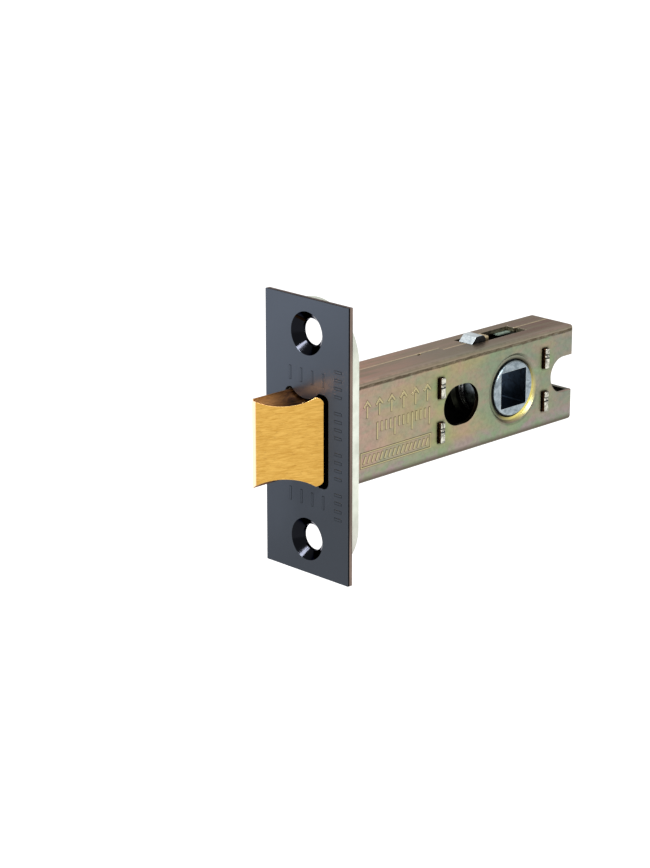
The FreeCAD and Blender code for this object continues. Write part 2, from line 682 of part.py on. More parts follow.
def main():
    near_shell, far_shell = case_shells()
    rivets = rivet_places()
    nodes = {
        "face_plate": face_plate(),
        "mounting_plate": mounting_plate(),
        "case_near_shell": near_shell,
        "case_far_shell": far_shell,
        "front_bulkhead": bulkhead(FRONT_BULKHEAD_X),
        "rear_bulkhead": bulkhead(REAR_BULKHEAD_X),
        "latch_bolt": latch_bolt(),
        "tail_strap": tail_strap(),
        "tail_rivet_front": tail_rivet(rivets[0]),
        "tail_rivet_rear": tail_rivet(rivets[1]),
        "bolt_spring": bolt_spring(),
        "follower": follower(),
        "follower_spring_near": follower_spring(-1),
        "follower_spring_far": follower_spring(1),
        "retractor": retractor(),
        "retractor_clip": retractor_clip(),
    }
    os.makedirs("parts", exist_ok=True)
    for name, shape in nodes.items():
        solid = shape.Solids[0] if len(shape.Solids) == 1 else shape
        solid.exportStep("parts/" + name + ".step")
        extent = solid.BoundBox
        print(name, len(shape.Solids), "solid", round(solid.Volume, 1), "mm3", solid.isValid(),
              [round(v, 2) for v in (extent.XMin, extent.XMax, extent.YMin, extent.YMax,
                                     extent.ZMin, extent.ZMax)])


main()
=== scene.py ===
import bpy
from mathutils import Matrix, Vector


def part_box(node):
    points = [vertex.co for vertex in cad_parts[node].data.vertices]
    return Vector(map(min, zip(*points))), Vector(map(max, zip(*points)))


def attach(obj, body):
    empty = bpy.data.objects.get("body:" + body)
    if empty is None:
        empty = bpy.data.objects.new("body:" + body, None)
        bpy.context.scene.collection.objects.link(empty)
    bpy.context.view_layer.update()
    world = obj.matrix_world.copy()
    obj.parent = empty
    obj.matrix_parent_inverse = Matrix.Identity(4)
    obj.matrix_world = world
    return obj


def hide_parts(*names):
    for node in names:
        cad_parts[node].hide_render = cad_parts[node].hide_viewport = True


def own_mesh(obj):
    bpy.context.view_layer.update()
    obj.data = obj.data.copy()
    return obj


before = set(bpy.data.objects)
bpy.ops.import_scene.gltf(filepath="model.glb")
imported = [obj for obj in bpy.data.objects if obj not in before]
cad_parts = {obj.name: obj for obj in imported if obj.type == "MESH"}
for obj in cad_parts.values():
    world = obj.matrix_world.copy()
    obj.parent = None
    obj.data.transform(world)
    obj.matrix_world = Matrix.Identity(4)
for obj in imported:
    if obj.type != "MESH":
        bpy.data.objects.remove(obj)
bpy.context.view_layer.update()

import math
import bmesh
import bpy
from mathutils import Vector

mm = 0.001
print("frame loaded:", len(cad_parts), "nodes")


# Camera, solved from the photograph; the sensor's width is the picture's long side
camera = {
    "place": (-0.35119, -0.36195, 0.15797),
    "forward": (0.66986, 0.68023, -0.29762),
    "lens": 107.29,
    "sensor": 36.0,
}


def makeCamera():
    data = bpy.data.cameras.new("photoCamera")
    data.lens = camera["lens"]
    data.sensor_width = camera["sensor"]
    data.clip_start = 0.01
    data.clip_end = 10
    cam = bpy.data.objects.new("photoCamera", data)
    bpy.context.scene.collection.objects.link(cam)
    cam.location = camera["place"]
    cam.rotation_mode = "QUATERNION"
    cam.rotation_quaternion = Vector(camera["forward"]).to_track_quat("-Z", "Y")
    bpy.context.scene.camera = cam


makeCamera()
print("camera made")


# Places that the finishes and the marks share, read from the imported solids
nearLow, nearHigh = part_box("case_near_shell")
farLow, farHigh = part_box("case_far_shell")
plateLow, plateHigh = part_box("face_plate")
backLow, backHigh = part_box("mounting_plate")
boltLow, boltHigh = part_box("latch_bolt")
frontLow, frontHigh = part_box("front_bulkhead")
rearLow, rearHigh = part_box("rear_bulkhead")
layout = {
    "nearSide": nearLow.y,
    "caseTop": nearHigh.z,
    "caseEnd": nearHigh.x,
    "plateHalfWidth": plateHigh.y,
    "plateHalfHeight": plateHigh.z,
    "backFace": backHigh.x,
    "sheet": 1.0 * mm,
    "hubX": 57 * mm,        # the latch's backset
    "hubR": 6.15 * mm,
    "screwZ": 22 * mm,
    "sinkR": 4.55 * mm,
    "lugBack": 52.1 * mm,
    "tabX": ((frontLow.x + frontHigh.x) / 2, (rearLow.x + rearHigh.x) / 2),
    "tabHalf": (frontHigh.x - frontLow.x) / 2,
}


# Small helpers for node trees
def addNode(tree, kind, inputs=None, **settings):
    # Inputs are given by name or number, each a value or another node's output
    made = tree.nodes.new("ShaderNode" + kind)
    for key, value in settings.items():
        setattr(made, key, value)
    for key, value in (inputs or {}).items():
        if isinstance(value, bpy.types.NodeSocket):
            tree.links.new(value, made.inputs[key])
        else:
            made.inputs[key].default_value = value
    return made


def calc(tree, operation, a, b=0.0, clamp=False):
    return addNode(tree, "Math", {0: a, 1: b}, operation=operation, use_clamp=clamp).outputs[0]


def both(tree, a, b):
    return calc(tree, "MULTIPLY", a, b)


def flip(tree, a):
    return calc(tree, "SUBTRACT", 1.0, a)


def rgb(r, g, b):
    # An sRGB colour of 0 to 255, as the shader's linear values
    def linear(v):
        v = v / 255
        return v / 12.92 if v <= 0.04045 else ((v + 0.055) / 1.055) ** 2.4
    return (linear(r), linear(g), linear(b), 1.0)


def ramp(tree, value, stops):
    made = addNode(tree, "ValToRGB", {0: value})
    elements = made.color_ramp.elements
    while len(elements) < len(stops):
        elements.new(0.5)
    for element, (at, colour) in zip(elements, stops):
        element.position = at
        element.color = colour
    return made.outputs[0]


def greyRamp(tree, value, stops):
    return ramp(tree, value, [(at, (level, level, level, 1.0)) for at, level in stops])


def blend(tree, factor, a, b, mode="MIX"):
    made = addNode(tree, "Mix", {0: factor, 6: a, 7: b}, data_type="RGBA", blend_type=mode)
    return made.outputs[2]


def noise(tree, place, scale, detail=3.0, roughness=0.5, distortion=0.0):
    made = addNode(tree, "TexNoise", {"Vector": place, "Scale": scale, "Detail": detail,
                                      "Roughness": roughness, "Distortion": distortion})
    return made.outputs[0]


def stretched(tree, place, scale, shift=(0, 0, 0)):
    return addNode(tree, "Mapping", {"Vector": place, "Scale": scale, "Location": shift}).outputs[0]


def bump(tree, height, distance, strength, normal):
    made = addNode(tree, "Bump", {"Height": height, "Distance": distance, "Strength": strength, "Normal": normal})
    return made.outputs[0]


def newMaterial(name, **values):
    material = bpy.data.materials.new(name)
    material.use_nodes = True
    tree = material.node_tree
    shader = tree.nodes["Principled BSDF"]
    for key, value in values.items():
        shader.inputs[key.replace("_", " ")].default_value = value
    place = addNode(tree, "TexCoord").outputs["Object"]
    return material, tree, shader, place


def connect(tree, shader, **outputs):
    for key, output in outputs.items():
        tree.links.new(output, shader.inputs[key.replace("_", " ")])


def apart(tree, vector):
    made = addNode(tree, "SeparateXYZ", {0: vector})
    return made.outputs[0], made.outputs[1], made.outputs[2]


def size(tree, value):
    return calc(tree, "ABSOLUTE", value)


def above(tree, value, level, soft):
    # Nothing below the level, one above it, over a soft step
    return calc(tree, "DIVIDE", calc(tree, "SUBTRACT", value, level), soft, clamp=True)


def band(tree, value, centre, halfWidth, soft):
    # One inside the band and nothing outside it, with soft edges
    away = calc(tree, "ABSOLUTE", calc(tree, "SUBTRACT", value, centre))
    return calc(tree, "DIVIDE", calc(tree, "SUBTRACT", halfWidth + soft, away), soft, clamp=True)


def faceSmooth(tree):
    return addNode(tree, "NewGeometry").outputs["Normal"]


def faceNormal(tree):
    return addNode(tree, "NewGeometry").outputs["True Normal"]


def softNormal(tree, radius):
    # The shading normal, eased over the solids' edges
    return addNode(tree, "Bevel", {"Radius": radius}, samples=8).outputs[0]


def edgeWear(tree, soft):
    # One on the solids' sharp edges, from how far the eased normal leaves the face's own
    match = addNode(tree, "VectorMath", {0: soft, 1: faceNormal(tree)}, operation="DOT_PRODUCT")
    return greyRamp(tree, match.outputs["Value"], [(0.82, 1.0), (0.985, 0.0)])


# Satin blue-black plating on the outer plate: glossy in the countersinks, brown at the sheared edge
blackPlate = {
    "faceLitTop": (75, 81, 91),
    "faceShadedLow": (56, 60, 66),
    "mark": (30, 33, 38),
    "sink": (22, 23, 27),
    "mouth": (4, 4, 5),
    "frontLine": (12, 12, 14),
    "worn": (136, 142, 150),
    "edge": (128, 110, 100),
    "edgeDeep": (84, 76, 70),
    "roughness": 0.31,
    "atGrazing": (0.3, 0.3, 0.34, 1.0),
    "grain": 2600,
    "easing": 0.12 * mm,
}


def makeBlackPlate(name, marked):
    p = blackPlate
    material, tree, shader, place = newMaterial(name)
    x, y, z = apart(tree, place)
    nx, ny, nz = apart(tree, faceNormal(tree))
    soft = softNormal(tree, p["easing"])
    clouds = noise(tree, place, 70, 4)
    grain = noise(tree, place, p["grain"], 2, 0.7)
    # Painted light and shade: lighter towards the top and the +Y side, darker towards the bottom
    up = calc(tree, "ADD", calc(tree, "DIVIDE", z, 2.2 * layout["plateHalfHeight"]), 0.45)
    up = calc(tree, "ADD", up, both(tree, calc(tree, "SUBTRACT", clouds, 0.5), 0.35))
    up = calc(tree, "ADD", up, calc(tree, "DIVIDE", y, 6 * layout["plateHalfWidth"]))
    colour = ramp(tree, up, [(0.1, rgb(*p["faceShadedLow"])), (0.9, rgb(*p["faceLitTop"]))])
    if marked:
        # Painted shade down the marks' sloping sides
        slope = flip(tree, above(tree, size(tree, nx), 0.93, 0.05))
        colour = blend(tree, both(tree, slope, 0.9), colour, rgb(*p["mark"]))
    # The outer edges: black along the front of the cut face, brown behind it
    onEdge = flip(tree, above(tree, size(tree, nx), 0.4, 0.1))
    outside = calc(tree, "MAXIMUM", above(tree, size(tree, y), layout["plateHalfWidth"] - 0.1 * mm, 0.02 * mm),
                   above(tree, size(tree, z), layout["plateHalfHeight"] - 0.1 * mm, 0.02 * mm))
    drift = noise(tree, stretched(tree, place, (800, 200, 60)), 1.0, 4, 0.6)
    brown = blend(tree, greyRamp(tree, drift, [(0.35, 0.0), (0.65, 1.0)]), rgb(*p["edgeDeep"]), rgb(*p["edge"]))
    behind = above(tree, x, 0.38 * mm, 0.12 * mm)
    cutColour = blend(tree, behind, rgb(*p["frontLine"]), brown)
    # The countersinks, polished black, with the cone's own smooth normal; the bolt's mouth, painted black as shade
    # and not metallic
    fromScrew = calc(tree, "SUBTRACT", size(tree, z), layout["screwZ"])
    radius = calc(tree, "SQRT", calc(tree, "ADD", both(tree, fromScrew, fromScrew), both(tree, y, y)))
    inSink = flip(tree, above(tree, radius, layout["sinkR"] - 0.05 * mm, 0.1 * mm))
    inward = calc(tree, "DIVIDE", calc(tree, "SQRT", flip(tree, both(tree, nx, nx))), radius)
    across = both(tree, both(tree, y, inward), -1.0)
    upward = both(tree, both(tree, both(tree, fromScrew, calc(tree, "SIGN", z)), inward), -1.0)
    coneNormal = addNode(tree, "CombineXYZ", {0: nx, 1: across, 2: upward}).outputs[0]
    inMouth = both(tree, onEdge, flip(tree, calc(tree, "MAXIMUM", outside, inSink)))
    if not marked:
        worn = both(tree, edgeWear(tree, soft), flip(tree, calc(tree, "MAXIMUM", inSink, inMouth)))
        colour = blend(tree, both(tree, worn, 0.3), colour, rgb(*p["worn"]))
        colour = blend(tree, both(tree, onEdge, outside), colour, cutColour)
        # Painted shade: the mouth's walls near black
        colour = blend(tree, inMouth, colour, rgb(*p["mouth"]))
        colour = blend(tree, inSink, colour, rgb(*p["sink"]))
    satin = greyRamp(tree, clouds, [(0.3, p["roughness"] - 0.03), (0.7, p["roughness"] + 0.05)])
    grained = bump(tree, grain, 0.003 * mm, 0.5, soft)
    shader.inputs["Specular Tint"].default_value = p["atGrazing"]
    connect(tree, shader, Base_Color=colour,
            Roughness=blend(tree, inSink, satin, (0.12, 0.12, 0.12, 1)),
            Metallic=calc(tree, "MAXIMUM", inSink, both(tree, flip(tree, inMouth), 0.8)),
            Normal=blend(tree, inSink, grained, coneNormal))
    return material


# Dull bright zinc on the mounting plate
brightZinc = {
    "light": (220, 224, 212),
    "shade": (200, 204, 191),
    "low": (176, 172, 166),
    "mouth": (22, 20, 18),
    "roughness": 0.45,
    "easing": 0.2 * mm,
}


def makeBrightZinc():
    p = brightZinc
    material, tree, shader, place = newMaterial("brightZinc", Metallic=1.0)
    clouds = noise(tree, place, 260, 5, 0.6)
    scuffs = noise(tree, stretched(tree, place, (900, 900, 160)), 1.0, 4, 0.7)
    soft = softNormal(tree, p["easing"])
    x, y, z = apart(tree, place)
    colour = blend(tree, greyRamp(tree, clouds, [(0.35, 0.0), (0.65, 1.0)]), rgb(*p["shade"]), rgb(*p["light"]))
    colour = blend(tree, both(tree, edgeWear(tree, soft), 0.4), colour, rgb(244, 244, 238))
    # Painted shade: darker towards the bottom
    lowerShade = above(tree, both(tree, z, -1.0), 12 * mm, 12 * mm)
    colour = blend(tree, both(tree, lowerShade, 0.8), colour, rgb(*p["low"]))
    # Painted shade, near black, where it lies in front of the case, as in the bolt's mouth
    inMouth = both(tree, flip(tree, above(tree, size(tree, y), -layout["nearSide"], 0.1 * mm)),
                   flip(tree, above(tree, size(tree, z), layout["caseTop"], 0.1 * mm)))
    colour = blend(tree, inMouth, colour, rgb(*p["mouth"]))
    rough = greyRamp(tree, scuffs, [(0.3, p["roughness"] - 0.08), (0.7, p["roughness"] + 0.08)])
    connect(tree, shader, Base_Color=colour, Roughness=rough,
            Normal=bump(tree, scuffs, 0.01 * mm, 0.5, soft))
    return material


# Yellow passivated zinc, which drifts through pink, khaki, straw and green along the case
yellowZinc = {
    "pink": (178, 146, 134),
    "khaki": (160, 148, 122),
    "straw": (160, 150, 112),
    "green": (130, 142, 114),
    "grey": (126, 132, 120),
    "rose": (170, 134, 126),
    "halo": (134, 154, 104),
    "lilac": (146, 134, 136),
    "lowTint": (126, 146, 118),
    "underShade": (88, 80, 70),
    "atGrazing": (0.84, 0.8, 0.76, 1.0),
    "topNear": [(0.1, (178, 138, 122)), (0.5, (130, 118, 104)), (0.75, (114, 96, 82)), (0.95, (110, 82, 70))],
    "topFar": [(0.1, (188, 140, 118)), (0.5, (150, 128, 114)), (0.75, (130, 112, 98)), (0.95, (118, 94, 82))],
    "topCloud": (124, 118, 94),
    "topBend": [(0.1, (186, 159, 142)), (0.62, (142, 142, 123)), (0.9, (167, 148, 136))],
    "topBendFrom": 4.2 * mm,
    "bendHighlight": (144, 132, 114),
    "seamHighlight": (206, 190, 158),
    "scratch": (72, 62, 48),
    "grit": 0.18,
    "inside": (96, 98, 88),
    "holeShade": (34, 26, 16),
    "dishLit": (236, 222, 128),
    "dishMiddle": (168, 158, 100),
    "dishShade": (40, 36, 24),
    "sheared": (188, 188, 164),
    "markLitTop": (182, 172, 128),
    "markSlopeShade": (76, 68, 46),
    "roughness": 0.34,
    "easing": 0.16 * mm,
    "scratchDrop": 1.12 * mm,       # from the top down to the scratched line on the side
    "scratchHalf": 0.24 * mm,
    "underDrop": 1.5 * mm,
    "seamY": 1.1 * mm,
    "seamShift": 1.4 * mm,
    "seamStep": (40.4 * mm, 47.4 * mm),
    "dishR": (6.6 * mm, 0.8 * mm),
    "dishSpread": 0.45 * mm,
    "gapR": 6.5 * mm,
    "gapShade": (22, 20, 14),
    "dishDepth": 1.0 * mm,
    "holeX": (34.0 * mm, 46.0 * mm),
    "tabZ": 4.9 * mm,
    "tabReach": 2.2 * mm,
    "creaseShade": (64, 66, 50),
}


def along(tree, value, low, high):
    # One between two places and nothing outside them
    return both(tree, above(tree, value, low, 0.02 * mm), flip(tree, above(tree, value, high, 0.02 * mm)))


def nearTabs(tree, x, z):
    # Fades away from the four places where the bulkheads' tabs come through
    p = yellowZinc
    dx = calc(tree, "MINIMUM", size(tree, calc(tree, "SUBTRACT", x, layout["tabX"][0])),
              size(tree, calc(tree, "SUBTRACT", x, layout["tabX"][1])))
    dz = both(tree, calc(tree, "SUBTRACT", size(tree, z), p["tabZ"]), 0.7)
    away = calc(tree, "SQRT", calc(tree, "ADD", both(tree, dx, dx), both(tree, dz, dz)))
    return flip(tree, above(tree, away, 1.0 * mm, 3.2 * mm))


def tabShade(tree, x, z):
    # One in the painted shade close round each tab
    p = yellowZinc
    dx = calc(tree, "MINIMUM", size(tree, calc(tree, "SUBTRACT", x, layout["tabX"][0])),
              size(tree, calc(tree, "SUBTRACT", x, layout["tabX"][1])))
    dx = calc(tree, "MAXIMUM", calc(tree, "SUBTRACT", dx, layout["tabHalf"]), 0.0)
    dz = calc(tree, "SUBTRACT", size(tree, calc(tree, "SUBTRACT", size(tree, z), p["tabZ"])), p["tabReach"])
    dz = calc(tree, "MAXIMUM", dz, 0.0)
    away = calc(tree, "SQRT", calc(tree, "ADD", both(tree, dx, dx), both(tree, dz, dz)))
    return flip(tree, above(tree, away, 0.1 * mm, 0.6 * mm))


def zincDrift(tree, place, x, z):
    # Colour over the side: along X from pink to grey-green, stirred by broad noise
    p = yellowZinc
    slow = noise(tree, stretched(tree, place, (60, 60, 90)), 1.0, 3, 0.5, 0.6)
    second = noise(tree, stretched(tree, place, (130, 130, 190), (3.1, 0.7, 1.9)), 1.0, 5, 0.65, 0.5)
    third = noise(tree, stretched(tree, place, (110, 110, 240), (6.2, 4.7, 2.3)), 1.0, 5, 0.65, 0.4)
    stirred = calc(tree, "ADD", calc(tree, "DIVIDE", x, layout["caseEnd"]),
                   both(tree, calc(tree, "SUBTRACT", slow, 0.5), 0.7))
    colour = ramp(tree, stirred, [(0.1, rgb(*p["pink"])), (0.3, rgb(*p["khaki"])), (0.48, rgb(*p["straw"])),
                                  (0.68, rgb(*p["green"])), (0.9, rgb(*p["grey"]))])
    colour = blend(tree, greyRamp(tree, second, [(0.42, 0.0), (0.72, 0.75)]), colour, rgb(*p["rose"]))
    colour = blend(tree, greyRamp(tree, third, [(0.46, 0.0), (0.74, 0.8)]), colour, rgb(*p["lowTint"]))
    colour = blend(tree, greyRamp(tree, third, [(0.28, 0.6), (0.48, 0.0)]), colour, rgb(*p["straw"]))
    halo = both(tree, nearTabs(tree, x, z), greyRamp(tree, second, [(0.3, 0.9), (0.6, 0.3)]))
    colour = blend(tree, halo, colour, rgb(*p["halo"]))
    # Painted shade close round the tabs
    colour = blend(tree, both(tree, tabShade(tree, x, z), 0.75), colour, rgb(*p["creaseShade"]))
    low = above(tree, both(tree, z, -1.0), 6.8 * mm, 2.0 * mm)
    lowColour = blend(tree, greyRamp(tree, second, [(0.44, 0.0), (0.58, 1.0)]), rgb(*p["lowTint"]), rgb(*p["lilac"]))
    colour = blend(tree, both(tree, low, 0.7), colour, lowColour)
    # Painted shade along the lower bend, where the side turns under
    under = above(tree, both(tree, z, -1.0), layout["caseTop"] - p["underDrop"], 0.9 * mm)
    return blend(tree, both(tree, under, 0.9), colour, rgb(*p["underShade"]))


def stops(pairs):
    return [(at, rgb(*colour)) for at, colour in pairs]


def topDrift(tree, place, x, y):
    # Colour over the top: pinker on the far side of the seam, with a painted highlight along the seam
    p = yellowZinc
    clouds = noise(tree, stretched(tree, place, (60, 200, 60), (5, 2, 0)), 1.0, 4, 0.6, 0.5)
    streaks = noise(tree, stretched(tree, place, (50, 900, 50), (1, 8, 0)), 1.0, 4, 0.6, 0.3)
    back = calc(tree, "ADD", calc(tree, "DIVIDE", x, layout["caseEnd"]),
                both(tree, calc(tree, "SUBTRACT", clouds, 0.5), 0.4))
    seamAt = calc(tree, "SUBTRACT", p["seamY"], both(tree, along(tree, x, *p["seamStep"]), p["seamShift"]))
    fromSeam = calc(tree, "SUBTRACT", y, seamAt)
    colour = blend(tree, above(tree, fromSeam, 0.0, 0.05 * mm), ramp(tree, back, stops(p["topNear"])),
                   ramp(tree, back, stops(p["topFar"])))
    colour = blend(tree, greyRamp(tree, streaks, [(0.4, 0.5), (0.52, 0.0)]), colour, rgb(*p["topCloud"]))
    bending = above(tree, both(tree, y, -1.0), p["topBendFrom"], 1.6 * mm)
    colour = blend(tree, both(tree, bending, 0.7), colour, ramp(tree, back, stops(p["topBend"])))
    line = band(tree, fromSeam, 0.0, 0.12 * mm, 0.14 * mm)
    return blend(tree, both(tree, line, 0.8), colour, rgb(*p["seamHighlight"]))


def makeYellowZinc(name, look="case"):
    p = yellowZinc
    material, tree, shader, place = newMaterial(name, Metallic=1.0, Specular_Tint=p["atGrazing"])
    x, y, z = apart(tree, place)
    nx, ny, nz = apart(tree, faceNormal(tree))
    soft = softNormal(tree, p["easing"])
    fine = noise(tree, place, 1100, 4, 0.7)
    colour = zincDrift(tree, place, x, z)
    upward = above(tree, nz, 0.5, 0.2)
    colour = blend(tree, upward, colour, topDrift(tree, place, x, y))
    colour = blend(tree, greyRamp(tree, fine, [(0.4, p["grit"]), (0.56, 0.0)]), colour, rgb(*p["scratch"]))
    # The bend: a painted highlight band down to a rough scratched line
    down = calc(tree, "SUBTRACT", layout["caseTop"], z)
    onBend = both(tree, flip(tree, above(tree, down, p["scratchDrop"], 0.1 * mm)), flip(tree, upward))
    colour = blend(tree, both(tree, onBend, 0.8), colour, rgb(*p["bendHighlight"]))
    ragged = noise(tree, stretched(tree, place, (500, 500, 1300)), 1.0, 5, 0.7)
    wander = both(tree, calc(tree, "SUBTRACT", noise(tree, place, 420, 4, 0.7), 0.5), 0.45 * mm)
    scratched = band(tree, calc(tree, "ADD", down, wander), p["scratchDrop"], p["scratchHalf"], 0.2 * mm)
    onSide = above(tree, size(tree, ny), 0.5, 0.2)
    scratched = both(tree, both(tree, scratched, onSide), greyRamp(tree, ragged, [(0.36, 0.5), (0.56, 1.0)]))
    colour = blend(tree, both(tree, scratched, 0.9), colour, rgb(*p["scratch"]))
    if look == "case":
        # The dish round the follower: lit on the side towards the rear, shaded towards the front
        out = calc(tree, "SUBTRACT", x, layout["hubX"])
        radius = calc(tree, "SQRT", calc(tree, "ADD", both(tree, out, out), both(tree, z, z)))
        outside = above(tree, size(tree, y), -layout["nearSide"] - p["dishDepth"], 0.1 * mm)
        lit = calc(tree, "DIVIDE", both(tree, calc(tree, "SUBTRACT", out, z), 0.7071), radius)
        reach = calc(tree, "SUBTRACT", radius, both(tree, lit, p["dishSpread"]))
        dish = both(tree, flip(tree, above(tree, reach, p["dishR"][0], p["dishR"][1])), outside)
        dishColour = ramp(tree, calc(tree, "ADD", both(tree, lit, 0.5), 0.5),
                          [(0.55, rgb(*p["dishShade"])), (0.8, rgb(*p["dishMiddle"])), (0.98, rgb(*p["dishLit"]))])
        colour = blend(tree, dish, colour, dishColour)
        # Painted shade in the gap round the hub
        gapShade = both(tree, flip(tree, above(tree, radius, p["gapR"], 0.12 * mm)), outside)
        colour = blend(tree, gapShade, colour, rgb(*p["gapShade"]))
        # Painted shade: darker inside the case, darker still on the oblong hole's cut wall
        inner = both(tree, flip(tree, above(tree, size(tree, y), -layout["nearSide"] - 0.85 * mm, 0.04 * mm)),
                     flip(tree, above(tree, size(tree, z), layout["caseTop"] - 0.95 * mm, 0.04 * mm)))
        colour = blend(tree, inner, colour, rgb(*p["inside"]))
        # Painted shade on the case's front end, behind the mounting plate
        colour = blend(tree, flip(tree, above(tree, x, backHigh.x - 0.5 * mm, 0.3 * mm)), colour,
                       rgb(*p["holeShade"]))
        worn = both(tree, edgeWear(tree, soft), flip(tree, inner))
        patchy = greyRamp(tree, fine, [(0.35, 0.15), (0.65, 0.55)])
        colour = blend(tree, both(tree, worn, patchy), colour, rgb(*p["sheared"]))
        # Painted shade on the oblong hole's cut wall
        cutWall = both(tree, flip(tree, above(tree, size(tree, ny), 0.3, 0.1)), along(tree, x, *p["holeX"]))
        cutWall = both(tree, cutWall, flip(tree, above(tree, size(tree, z), 4.7 * mm, 0.1 * mm)))
        colour = blend(tree, cutWall, colour, rgb(*p["holeShade"]))
    if look == "mark":
        # Struck marks: painted light on their straw tops, painted shade down their slopes
        top = above(tree, size(tree, ny), 0.955, 0.02)
        marked = blend(tree, top, rgb(*p["markSlopeShade"]), rgb(*p["markLitTop"]))
        colour = blend(tree, 0.7, colour, marked)
    if look == "clip":
        colour = blend(tree, greyRamp(tree, fine, [(0.3, 0.7), (0.7, 1.0)]), colour, rgb(196, 180, 146))
    rough = greyRamp(tree, fine, [(0.3, p["roughness"] - 0.05), (0.7, p["roughness"] + 0.1)])
    height = blend(tree, scratched, fine, both(tree, ragged, 0.3))
    connect(tree, shader, Base_Color=colour, Roughness=rough,
            Normal=bump(tree, height, 0.012 * mm, 0.6, soft))
    return material


# Bulkhead tabs: bright crushed ends, with painted shade in the clefts on the ends and on the flanks
tabSteel = {
    "end": (214, 212, 198),
    "dull": (92, 92, 82),
    "cleft": (30, 36, 38),
    "flankShade": (92, 64, 48),
    "clefts": (0.95 * mm, 0.2 * mm),
    "cleftHalf": 0.12 * mm,
    "roughness": 0.3,
    "easing": 0.4 * mm,
}


def makeTabSteel():
    p = tabSteel
    material, tree, shader, place = newMaterial("tabSteel", Metallic=1.0)
    nx, ny, nz = apart(tree, faceNormal(tree))
    soft = softNormal(tree, p["easing"])
    crushed = noise(tree, stretched(tree, place, (1300, 1300, 900)), 1.0, 4, 0.7, 0.8)
    end = above(tree, size(tree, ny), 0.35, 0.2)
    colour = blend(tree, greyRamp(tree, crushed, [(0.42, 0.85), (0.58, 0.0)]), rgb(*p["end"]), rgb(*p["dull"]))
    x, y, z = apart(tree, place)
    # Painted shade in the stake clefts
    up = calc(tree, "SUBTRACT", z, both(tree, calc(tree, "SIGN", z), yellowZinc["tabZ"]))
    tilted = calc(tree, "ADD", up, both(tree, calc(tree, "SUBTRACT", crushed, 0.5), 0.5 * mm))
    clefts = calc(tree, "MAXIMUM", band(tree, tilted, p["clefts"][0], p["cleftHalf"], 0.1 * mm),
                  band(tree, tilted, p["clefts"][1], p["cleftHalf"], 0.1 * mm))
    colour = blend(tree, clefts, colour, rgb(*p["cleft"]))
    # Painted shade on the flanks
    colour = blend(tree, end, rgb(*p["flankShade"]), colour)
    rough = greyRamp(tree, crushed, [(0.3, p["roughness"] - 0.08), (0.7, p["roughness"] + 0.1)])
    connect(tree, shader, Base_Color=colour, Roughness=rough,
            Normal=bump(tree, crushed, 0.12 * mm, 0.8, soft))
    return material


# Brass, finely brushed along the bevel, with painted shade: brown in its grooves and dark down its flanks
brass = {
    "light": (209, 167, 86),
    "deep": (183, 138, 61),
    "speck": (142, 100, 46),
    "nose": (255, 230, 200),
    "groove": (204, 140, 78),
    "grooveShade": (72, 41, 21),
    "grooveGlint": (206, 138, 74),
    "flankShade": (12, 8, 4),
    "roughness": 0.36,
    "noseLength": 0.2 * mm,
    "lean": 0.12,
    "easing": 0.14 * mm,
}


